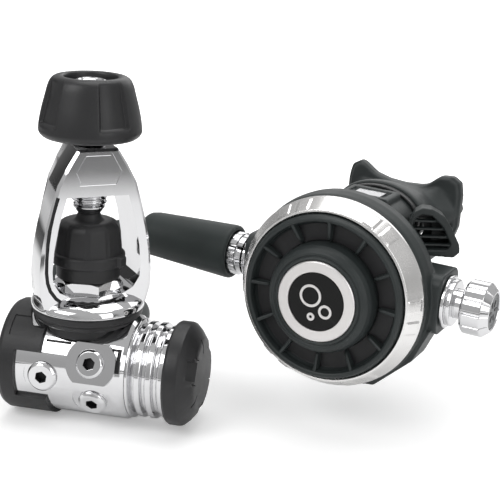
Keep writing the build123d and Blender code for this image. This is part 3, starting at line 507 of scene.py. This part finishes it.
# yoke screw: plain core with a helical thread skin
core = fil([(2.6, 71.6), (6.2, 71.6), (6.6, 72.2), (6.6, 99.5), (6.7, 99.6), (6.7, 112.0), (4.4, 112.0), (4.4, 119.0), (2.6, 119.0)], 0.15)
screw = turned("yoke_screw_core", core, ROW, MATS["chrome"], 96)
own(screw, "yoke_screw")
thread = helix_thread("yoke_screw_thread", 6.55, 7.5, 72.0, 99.0, MATS["chrome"], 0)
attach(thread, "yoke_knob")
tip = fil([(0, 68.2), (4.6, 68.2, 0.3), (5.2, 68.7, 0.3), (6.8, 70.9, 0.3), (6.8, 71.55, 0.15), (2.55, 71.55, 0.1), (2.55, 113), (0, 113)])
own(turned("yoke_screw_tip_turned", tip, ROW, MATS["chrome"], 96), "yoke_screw_tip")


# knob: four lobes, recessed grip panels with a ledge at their foot
def knob_profile(a):
    rec = 0.0
    for k in range(4):
        rec = max(rec, wedge_step(a, -40.6 - 18.5 + 90 * k, -40.6 + 18.5 + 90 * k, 2.6))
    rows = []
    side = [(104.4, 21.9), (105.6, 21.86), (107.0, 21.72), (107.5, 21.66), (108.2, 21.56), (110.0, 21.26), (112.0, 20.86), (114.0, 20.42), (116.0, 19.90), (118.0, 19.38), (120.0, 18.85), (122.0, 18.35), (123.6, 17.82), (124.7, 17.3), (125.4, 16.9), (126.2, 16.1)]
    flat = [(104.4, 21.9), (105.6, 21.86), (107.0, 21.66), (107.5, 21.1), (107.8, 20.2), (108.3, 19.95), (110.0, 19.6), (112.0, 19.2), (114.0, 18.75), (116.0, 18.25), (118.0, 17.75), (120.0, 17.3), (122.0, 16.95), (123.6, 16.7), (124.7, 16.55), (125.4, 16.45), (126.2, 16.0)]
    flat = [f for f in flat if f[0] != 107.5] if len(flat) != len(side) else flat
    low = [(0, 101.2), (8.0, 101.2), (16.0, 101.2), (19.0, 101.2), (19.7, 101.3), (20.5, 101.8), (21.2, 102.5), (21.6, 103.1), (21.85, 103.8)]
    rows += low
    for (z, r), (zf, rf) in zip(side, flat):
        rows.append((r + (rf - r) * rec, z + (zf - z) * rec))
    rows += [(15.2, 126.72), (14.2, 126.94), (13.2, 127.0), (12.3, 126.98), (11.7, 126.75), (11.42, 126.3), (11.4, 125.0), (11.4, 121.0), (11.38, 119.62), (6.0, 119.6), (0, 119.6)]
    return rows


knob = turned("yoke_knob_grip", knob_profile, ROW, MATS["black_plastic"], 360, 60)
own(knob, "yoke_knob")


# dust cap: ten soft facets, flange with a strap lug
def cap_profile(a):
    k = 10
    # softened regular polygon, vertices at multiples of 36 degrees
    t = (math.degrees(a) + 18) % 36 - 18
    poly = math.cos(math.radians(18)) / math.cos(math.radians(18 - abs(t)))
    round_ = 1 - 0.030 * math.exp(-(t / 3.2) ** 2)
    f = poly * round_

    def g(r, s):
        return r * (1 + (f - 1) * s)
    lug = wedge_step(a, -11 - 8.5, -11 + 8.5, 3.0)
    return [(0, 42.5), (7.6, 42.5), (8.0, 42.1), (8.0, 39.9), (8.3, 39.65), (13.0, 39.6), (13.5, 39.75), (13.8, 40.2), (13.9, 41.4), (13.9, 44.9), (14.1, 45.5), (14.6 + 0.4 * lug, 45.85), (15.4 + 1.6 * lug, 46.1), (15.85 + 1.7 * lug, 46.5), (15.9 + 1.75 * lug, 47.0), (15.9 + 1.75 * lug, 49.6), (15.8 + 1.7 * lug, 50.3), (15.4 + 1.5 * lug, 50.8), (14.9 + 0.6 * lug, 50.95), (g(15.2, 1), 51.05), (g(15.15, 1), 51.5), (g(15.1, 1), 53.0), (g(14.75, 1), 56.0), (g(14.35, 1), 59.0), (g(13.95, 1), 61.4), (g(13.6, 1), 62.4), (g(13.1, 1), 63.2), (g(12.3, 0.9), 64.0), (g(11.3, 0.7), 64.6), (g(10.2, 0.4), 64.9), (8.6, 64.92), (7.0, 64.95), (6.3, 65.2), (5.8, 65.8), (5.3, 66.7), (5.0, 67.5), (4.8, 68.0), (4.4, 68.15), (0, 68.15)]


cap = turned("dust_cap_moulded", cap_profile, ROW, MATS["black_rubber"], 360, 50)
own(cap, "dust_cap")

# yoke ring: saddle foot cut to the body's curve, two raised bands
ring_profile = fil([(15.52, 16.0), (18.7, 16.0), (18.7, 19.6, 0.4), (20.2, 20.0, 0.5), (22.3, 21.4, 0.8), (23.1, 22.7, 0.3), (22.8, 23.1, 0.2), (23.1, 23.5, 0.2), (24.0, 23.9, 0.5), (24.1, 26.1, 0.5), (23.6, 26.62, 0.3), (15.52, 26.62)], 0.3, 5)


def saddle(p, a):
    r2 = 23.03 ** 2 - p.y ** 2
    low = math.sqrt(r2) if r2 > 0 else 0.0
    z = max(p.z, low) if p.z < 25.0 else p.z
    return (p.x, p.y, z)


own(turned("yoke_ring_moulded", ring_profile, ROW, MATS["black_rubber"], 240, 50, warp=saddle), "yoke_bumper_ring")

# ---------------------------------------------------------------- second stage, cover
RIMN = 240
cover = fil([(36.6, 1.2), (36.6, 0.4, 0.2), (37.4, -0.5, 0.3), (38.3, -0.3, 0.5), (42.0, 6.6, 1.0), (42.5, 7.6, 0.5), (42.5, 9.0, 0.4), (42.1, 9.65), (38.4, 9.65), (38.4, 6.4), (36.6, 5.2)], 0.2, 5)


dense = []
for (r0, z0), (r1, z1) in zip(cover, cover[1:] + cover[:1]):
    dense.append((r0, z0))
    if r0 < 39 and r1 > 41 and abs(z1 - z0) > 3:
        for t in (0.08, 0.12, 0.5, 0.86, 0.9):
            dense.append((r0 + (r1 - r0) * t, z0 + (z1 - z0) * t))
cover = dense


def cover_profile(a):
    lift = 0.0
    for k in range(6):
        for d in (-7.0, 7.0):
            c = 60 * k + 1.5 + d
            lift = max(lift, wedge_step(a, c - 4, c + 4, 0.6))
    out = []
    for r, z in cover:
        on = 1.0 if (38.66 < r < 41.66 and z < 6.3) else 0.0
        out.append((r + 0.40 * lift * on, z - 0.22 * lift * on))
    return out


own(turned("cover_ring_turned", cover_profile, FACE, MATS["cover_silver"], 720, 40), "cover_ring")

rim = fil([(24.6, 3.0), (36.45, 3.0), (36.45, -0.6, 0.6), (36.1, -2.0, 0.7), (35.4, -3.0, 0.7), (34.5, -3.3, 0.7), (33.7, -2.9, 0.6), (33.2, -1.6, 0.6), (33.0, 0.2, 0.8), (32.1, 1.55, 0.6), (24.6, 1.6)], 0.2, 5)
own(turned("purge_rim_moulded", rim, FACE, MATS["case_plastic"], RIMN, 40), "purge_rim")
# painted shade on the floor of the purge groove
paint_groove_shade(bpy.data.objects["purge_rim_moulded"], FACE, lambda c, nrm: all(p.z > 1.0 and math.hypot(p.x, p.y) < 32.9 for p in c))
button = fil([(0, -6.9), (18.0, -6.9, 0.1), (18.0, -7.9, 0.3), (18.6, -8.3, 0.4), (19.3, -8.0, 0.3), (19.7, -7.35, 0.25), (20.2, -7.8, 0.4), (21.2, -7.75, 1.2), (22.8, -6.4, 1.6), (23.9, -4.3, 1.6), (24.45, -1.2, 1.0), (24.45, 2.6), (22.8, 2.6), (21.6, -4.0), (8.6, -4.6), (8.6, -1.6), (7.4, -1.6), (7.4, -4.7), (0, -4.7)], 0.2, 5)
own(turned("purge_button_moulded", button, FACE, MATS["case_plastic"], RIMN, 40), "purge_button")

# twelve ribs across the groove, rounded and tapering inwards
for k in range(12):
    verts, faces = [], []
    n, m = 16, 12
    for i in range(n + 1):
        t = i / n
        r = 24.75 + (34.2 - 24.75) * t
        half = 0.85 + 0.15 * t
        inner = min(1.0, i / 4.0)
        half *= math.sqrt(1 - (1 - inner) ** 2) * 0.75 + 0.25
        top = 1.2 - 1.9 * math.sqrt(1 - (1 - inner) ** 2) - 2.1 * t ** 0.9
        foot = 2.0
        for j in range(m + 1):
            u = -1 + 2 * j / m
            w = half * u
            z = top + (1 - math.sqrt(max(0.0, 1 - u * u))) * 0.9
            if j in (0, m):
                z = foot
            verts.append(((FACE @ (Matrix.Rotation(math.radians(30 * k), 4, "Z") @ Vector((r, w, z)))) * MM))
    for i in range(n):
        for j in range(m):
            a = i * (m + 1) + j
            faces.append((a, a + m + 1, a + m + 2, a + 1))
    for i in (0, n):
        faces.append(tuple(i * (m + 1) + j for j in range(m + 1)))
    faces.append(tuple([i * (m + 1) for i in range(n + 1)] + [i * (m + 1) + m for i in range(n, -1, -1)]))
    rib = from_points("purge_rib_%02d" % k, verts, faces, MATS["case_plastic"], 60)
    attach(rib, "second_stage")

# emblem: silver ring, black centre, three plain raised bubbles
silver = fil([(12.95, -6.95), (12.95, -8.45, 0.1), (13.1, -8.68, 0.15), (17.3, -8.7, 0.3), (17.8, -8.2, 0.2), (17.8, -6.95)], 0.1, 4)
emb = turned("emblem_ring", silver, FACE, MATS["emblem_silver"], 200, 50)
own(emb, "emblem_disc")
centre = fil([(0, -8.35), (12.6, -8.35, 0.2), (12.93, -8.1, 0.1), (12.93, -6.95, 0.1), (0, -6.95)], 0.1, 4)
emb2 = turned("emblem_centre", centre, FACE, MATS["emblem_black"], 160, 50)
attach(emb2, "purge_button")
for i, (bx, by, br) in enumerate(((-2.6, -2.2, 5.0), (4.7, 3.6, 3.1), (-1.6, 7.0, 1.8))):
    ringp = fil([(br - 1.15, -8.3), (br - 1.15, -8.62, 0.1), (br, -8.62, 0.1), (br, -8.3)], 0.08, 3)
    b = turned("emblem_bubble_%d" % i, ringp, FACE @ Matrix.Translation((bx, by, 0)), MATS["emblem_silver"], 96, 50)
    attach(b, "purge_button")

# adjuster, gland nut
gland = fil([(6.45, 46.55), (11.3, 46.55, 0.3), (11.7, 47.0, 0.3), (11.7, 48.0, 0.4), (11.2, 48.4, 0.2), (9.8, 48.5, 0.1), (9.8, 48.8, 0.1), (10.4, 49.1, 0.3), (10.4, 50.3, 0.3), (9.9, 50.8, 0.3), (6.45, 50.8)], 0.2)
own(turned("adjuster_gland_turned", gland, BARREL, MATS["chrome"], 120), "adjuster_gland_nut")
neck = fil([(2.45, 30.0), (4.6, 30.0), (4.6, 49.3), (6.4, 49.3, 0.3), (6.4, 55.0), (4.0, 55.0), (4.0, 58.0), (2.45, 58.0)], 0.15)
own(turned("adjuster_screw_turned", neck, BARREL, MATS["chrome"], 96), "adjuster_screw")
kprof = fil([(0, 55.1), (10.6, 55.1, 0.5), (11.9, 56.4, 0.7), (11.9, 64.4, 0.8), (9.0, 67.6, 0.5), (8.2, 67.6, 0.2), (7.9, 67.2, 0.1), (7.9, 66.0, 0.1), (0, 66.0)], 0.2, 5)
kd = []
for (r0, z0), (r1, z1) in zip(kprof, kprof[1:] + kprof[:1]):
    kd.append((r0, z0))
    if r0 > 11.8 and r1 > 11.8 and abs(z1 - z0) > 3:
        for t in (0.04, 0.10, 0.5, 0.90, 0.96):
            kd.append((r0 + (r1 - r0) * t, z0 + (z1 - z0) * t))


def flute_profile(a):
    d = math.degrees(a) % 30
    off = min(d, 30 - d)
    dip_ = math.exp(-(off / 1.5) ** 2)
    out = []
    for r, z in kd:
        on = min(1.0, max(0.0, (z - 56.2) / 0.6)) * min(1.0, max(0.0, (66.4 - z) / 1.4)) if r > 9.6 else 0.0
        out.append((r - 0.7 * dip_ * on, z))
    return out


own(turned("adjuster_knob_turned", flute_profile, BARREL, MATS["chrome"], 480, 40), "adjuster_knob")
disc = fil([(0, 66.05), (7.8, 66.05), (7.8, 67.0, 0.3), (7.2, 67.3, 0.2), (6.4, 67.25, 0.1), (6.1, 67.0, 0.1), (0, 67.0)], 0.1, 4)
own(turned("adjuster_disc_turned", disc, BARREL, MATS["grey_disc"], 96), "adjuster_knob_cap")
for k in range(6):
    verts, faces = [], []
    # six small raised ticks round the disc
    f_ = BARREL @ Matrix.Rotation(math.radians(60 * k), 4, "Z")
    pts = [(2.2, -0.45), (4.9, -0.62), (5.1, 0.0), (4.9, 0.62), (2.2, 0.45), (2.0, 0.0)]
    for z in (66.9, 67.25):
        for x, y in pts:
            verts.append((f_ @ Vector((x, y, z))) * MM)
    nn = len(pts)
    faces.append(tuple(range(nn - 1, -1, -1)))
    faces.append(tuple(range(nn, 2 * nn)))
    for i in range(nn):
        faces.append((i, (i + 1) % nn, nn + (i + 1) % nn, nn + i))
    tick = from_points("adjuster_tick_%d" % k, verts, faces, MATS["black_plastic"], 30)
    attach(tick, "adjuster_knob")

# ---------------------------------------------------------------- sleeve and hose
SWIVEL = matrix(RIM + Y2 * 27.0 + Z2 * 1.4, Z2, X2.cross(Z2), X2)
sleeve = fil([(7.75, -70.9), (7.75, -58.9, 0.1), (10.3, -58.4, 0.2), (10.6, -57.0, 0.3), (11.7, -56.9, 0.5), (12.4, -57.8, 0.7), (12.5, -59.4, 1.0), (11.7, -76.0, 0), (11.1, -88.0, 0), (10.5, -99.4, 3.0), (9.8, -103.0, 2.0), (8.6, -104.7, 1.0), (6.6, -104.9, 0.3), (5.62, -104.7, 0.2), (5.62, -78.6, 0.1), (7.75, -78.2, 0.1)], 0.2, 6)
own(turned("hose_sleeve_moulded", sleeve, SWIVEL, MATS["hose_rubber"], 160, 60), "hose_sleeve")

AX0 = RIM + Y2 * 27.0 + Z2 * 1.4
a195 = math.radians(195.0)
PDIR = Vector((0, -math.cos(a195), math.sin(a195)))
P_START = Vector((9.7, 0, 0)) + PDIR * 31.6
P_OUT = Vector((9.7, 0, 0)) + PDIR * 49.0
S_END, S_OUT = AX0 + X2 * -60.7, AX0 + X2 * -106.5
G = Vector((-10.2, 68.4, 40.3))
GD = Vector((-0.87, 0.26, -0.41)).normalized()
knots = [P_START, P_START + PDIR * 9, P_OUT] + [Vector(p) for p in ((2, 72, -16.9), (-8, 92, -17.1), (-11, 109, -17.1), (-18.5, 125.5, -17.1), (-36.5, 133, -17.0), (-54.5, 125.5, -16.2), (-62, 108, -13), (-57, 91, -5), (-44, 79.5, 11))] + [G + GD * 1.2, G - GD * 1.2, S_OUT, AX0 + X2 * -92, AX0 + X2 * -76, S_END]


def smooth_curve(points, per=40):
    """Centripetal interpolation through the points with natural ends."""
    p = np.array([tuple(q) for q in points])
    t = np.concatenate([[0], np.cumsum(np.linalg.norm(np.diff(p, axis=0), axis=1))])
    n = len(p)
    h = np.diff(t)
    A = np.zeros((n, n))
    B = np.zeros((n, 3))
    A[0, 0] = A[-1, -1] = 1
    for i in range(1, n - 1):
        A[i, i - 1], A[i, i], A[i, i + 1] = h[i - 1], 2 * (h[i - 1] + h[i]), h[i]
        B[i] = 6 * ((p[i + 1] - p[i]) / h[i] - (p[i] - p[i - 1]) / h[i - 1])
    m = np.linalg.solve(A, B)
    out = []
    total = int(t[-1] / 1.1)
    for s in np.linspace(0, t[-1], total + 1):
        i = min(n - 2, max(0, int(np.searchsorted(t, s) - 1)))
        a, b = t[i + 1] - s, s - t[i]
        out.append(m[i] * a ** 3 / (6 * h[i]) + m[i + 1] * b ** 3 / (6 * h[i]) + (p[i] / h[i] - m[i] * h[i] / 6) * a + (p[i + 1] / h[i] - m[i + 1] * h[i] / 6) * b)
    return np.array(out)


path = smooth_curve(knots)
tang = np.gradient(path, axis=0)
tang /= np.linalg.norm(tang, axis=1)[:, None]
up = np.array([0.0, 0.0, 1.0])
up = up - tang[0] * (up @ tang[0])
up /= np.linalg.norm(up)
verts, faces, NS = [], [], 40
for i, (c, t) in enumerate(zip(path, tang)):
    up = up - t * (up @ t)
    up /= np.linalg.norm(up)
    side = np.cross(t, up)
    for j in range(NS):
        a = 2 * math.pi * j / NS
        # four faint moulding lines along the hose
        r = 5.6 - 0.05 * math.exp(-(((a * 4 / (2 * math.pi)) % 1 - 0.5) / 0.05) ** 2)
        verts.append(Vector(c + (up * math.cos(a) + side * math.sin(a)) * r) * MM)
for i in range(len(path) - 1):
    for j in range(NS):
        l = (j + 1) % NS
        faces.append((i * NS + j, (i + 1) * NS + j, (i + 1) * NS + l, i * NS + l))
faces.append(tuple(range(NS)))
faces.append(tuple((len(path) - 1) * NS + j for j in range(NS)))
hose = from_points("hose_moulded", verts, faces, MATS["hose_rubber"], 60, weighted=False)
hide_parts("hose_lower", "hose_upper")
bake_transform(hose)

# ---------------------------------------------------------------- moulded pieces of the second stage
def soft(t):
    t = np.clip(t, 0.0, 1.0)
    return t * t * (3 - 2 * t)


def bite_plate(co):
    """Draws the plate's upper corners up and its right side out, past the relaxed outline."""
    m = np.array(SECOND)
    p = (co / MM - m[:3, 3]) @ m[:3, :3]
    f = soft((p[:, 1] - 74) / 7)
    up_ = p[:, 2] - 25.0
    p[:, 0] += f * 4.6 * soft((p[:, 0] + 20) / 44)
    p[:, 2] += f * 3.6 * soft((np.abs(p[:, 0]) - 12) / 9) * soft((up_ - 3) / 7)
    return (p @ m[:3, :3].T + m[:3, 3]) * MM


for node, voxel, rounds in (("second_stage_case", 0.45, 5), ("exhaust_tee", 0.40, 4), ("mouthpiece", 0.45, 7), ("mouthpiece_clamp", 0.3, 5)):
    ob = moulded(node, MATS[slots[node]], voxel, rounds, edit=bite_plate if node == "mouthpiece" else None)

# ---------------------------------------------------------------- stage, light, camera
lowest = cad_box[0][2]
bpy.ops.mesh.primitive_grid_add(x_subdivisions=8, y_subdivisions=8, size=16.0, location=(0.1, 3.0, lowest - 0.0002))
floor = bpy.context.object
floor.name = "floor"
fn = Nodes("pale_floor")
fn.to(fn.mapped(fn.noise(8, 5), 0.55, 0.7), "Roughness")
fn.bump(fn.noise(220, 4), 0.00008, 0.15)
# what polished parts mirror: glossy rays see the floor pale near the object, then a painted dark ring standing for the
# dark of the room, then pale again further out; a painted reflection, not the floor's own colour
lp = fn.t.nodes.new("ShaderNodeLightPath")
far = fn.t.nodes.new("ShaderNodeVectorMath")
far.operation = "DISTANCE"
far.inputs[1].default_value = (0.07, 0.03, lowest)
fn.t.links.new(fn.geo.outputs["Position"], far.inputs[0])
painted_reflection_ring = fn.ramp(far.outputs["Value"], (0.20, 0.92), (0.36, 0.86), (0.46, 0.10), (0.62, 0.03), (0.72, 0.60), (1.0, 0.85))
pale = fn.mix(fn.mapped(fn.noise(3, 4), 0, 1), (0.90, 0.90, 0.90), (0.93, 0.93, 0.93))
fn.to(fn.mix(lp.outputs["Is Glossy Ray"], pale, painted_reflection_ring), "Base Color")
# for camera rays only the floor glows, weakly near the object and more strongly further out: painted light that keeps
# the far floor white
fn.b.inputs["Emission Color"].default_value = (1, 1, 1, 1)
fn.to(fn.math("MULTIPLY", lp.outputs["Is Camera Ray"], fn.ramp(far.outputs["Value"], (0.10, 0.26), (0.32, 0.36), (0.62, 0.90), (1.0, 1.0))), "Emission Strength")
floor.data.materials.append(fn.mat)

world = bpy.data.worlds.new("studio")
bpy.context.scene.world = world
world.use_nodes = True
wt = world.node_tree
wt.nodes.clear()
wo = wt.nodes.new("ShaderNodeOutputWorld")
bg = wt.nodes.new("ShaderNodeBackground")
wt.links.new(bg.outputs[0], wo.inputs[0])
tc = wt.nodes.new("ShaderNodeTexCoord")
sep = wt.nodes.new("ShaderNodeSeparateXYZ")
wt.links.new(tc.outputs["Generated"], sep.inputs[0])


def wmath(op, a, b=0.0):
    m = wt.nodes.new("ShaderNodeMath")
    m.operation = op
    for s_, v in ((m.inputs[0], a), (m.inputs[1], b)):
        if hasattr(v, "is_output"):
            wt.links.new(v, s_)
        else:
            s_.default_value = v
    return m.outputs[0]


az = wmath("ARCTAN2", sep.outputs[0], wmath("MULTIPLY", sep.outputs[1], -1.0))     # 0 towards the camera, + to the right
azn = wmath("ADD", wmath("DIVIDE", az, 2 * math.pi), 0.5)
ramp = wt.nodes.new("ShaderNodeValToRGB")
stops = [(0.0, 0.80), (0.10, 0.85), (0.16, 0.10), (0.22, 0.06), (0.26, 0.75), (0.36, 1.0), (0.42, 0.95), (0.455, 0.74), (0.49, 0.74), (0.52, 0.9), (0.62, 1.0), (0.66, 0.25), (0.70, 0.12), (0.74, 0.9), (0.88, 1.0), (1.0, 0.80)]
while len(ramp.color_ramp.elements) < len(stops):
    ramp.color_ramp.elements.new(0.5)
for e, (p_, c_) in zip(ramp.color_ramp.elements, stops):
    e.position = p_
    e.color = (c_, c_, c_, 1)
wt.links.new(azn, ramp.inputs["Fac"])
el = wt.nodes.new("ShaderNodeValToRGB")
for e, (p_, c_) in zip([el.color_ramp.elements[0], el.color_ramp.elements[1], el.color_ramp.elements.new(0.5), el.color_ramp.elements.new(0.5)], ((0.0, 0.0), (1.0, 1.0), (0.60, 0.0), (0.80, 1.0))):
    e.position = p_
    e.color = (c_, c_, c_, 1)
wt.links.new(wmath("ADD", wmath("MULTIPLY", sep.outputs[2], 0.5), 0.5), el.inputs["Fac"])
wm = wt.nodes.new("ShaderNodeMix")
wm.data_type = "RGBA"
wt.links.new(el.outputs["Color"], wm.inputs["Factor"])
wt.links.new(ramp.outputs["Color"], wm.inputs[6])
wm.inputs[7].default_value = (1, 1, 1, 1)
wt.links.new(wm.outputs[2], bg.inputs["Color"])
bg.inputs["Strength"].default_value = 0.52
seen = wt.nodes.new("ShaderNodeBackground")
seen.inputs["Color"].default_value = (1, 1, 1, 1)
seen.inputs["Strength"].default_value = 1.0
path_ = wt.nodes.new("ShaderNodeLightPath")
both = wt.nodes.new("ShaderNodeMixShader")
wt.links.new(path_.outputs["Is Camera Ray"], both.inputs[0])
wt.links.new(bg.outputs[0], both.inputs[1])
wt.links.new(seen.outputs[0], both.inputs[2])
wt.links.new(both.outputs[0], wo.inputs[0])


def softbox(name, loc, at, size, power, colour=(1, 1, 1)):
    li = bpy.data.lights.new(name, "AREA")
    li.shape = "RECTANGLE"
    li.size, li.size_y = size
    li.energy = power
    li.color = colour
    ob = bpy.data.objects.new(name, li)
    bpy.context.scene.collection.objects.link(ob)
    ob.location = loc
    ob.rotation_euler = (Vector(at) - Vector(loc)).to_track_quat("-Z", "Y").to_euler()
    return ob


mid = (0.07, 0.03, 0.04)
softbox("key", (-0.55, -0.75, 0.85), mid, (0.7, 0.7), 5.5)
softbox("fill", (0.95, -0.55, 0.45), mid, (0.5, 0.9), 2.6)
softbox("top", (0.10, 0.25, 1.10), mid, (1.0, 0.8), 6.0)
softbox("back", (0.20, 1.10, 0.60), mid, (1.2, 0.6), 2.5)

cam = bpy.data.cameras.new("camera")
cam.sensor_width = 36.0
cam.lens = 93.6
cam.clip_start, cam.clip_end = 0.01, 20
camera = bpy.data.objects.new("camera", cam)
bpy.context.scene.collection.objects.link(camera)
R, U, B = (0.97197, 0.23003, 0.04856), (-0.11006, 0.26271, 0.95858), (0.20774, -0.93705, 0.28067)
camera.matrix_world = matrix((0.18513, -0.51210, 0.21263), R, U, B)
bpy.context.scene.camera = camera
bpy.context.scene.view_settings.view_transform = "Standard"
bpy.context.scene.view_settings.look = "None"
bpy.context.scene.view_settings.exposure = 0.0
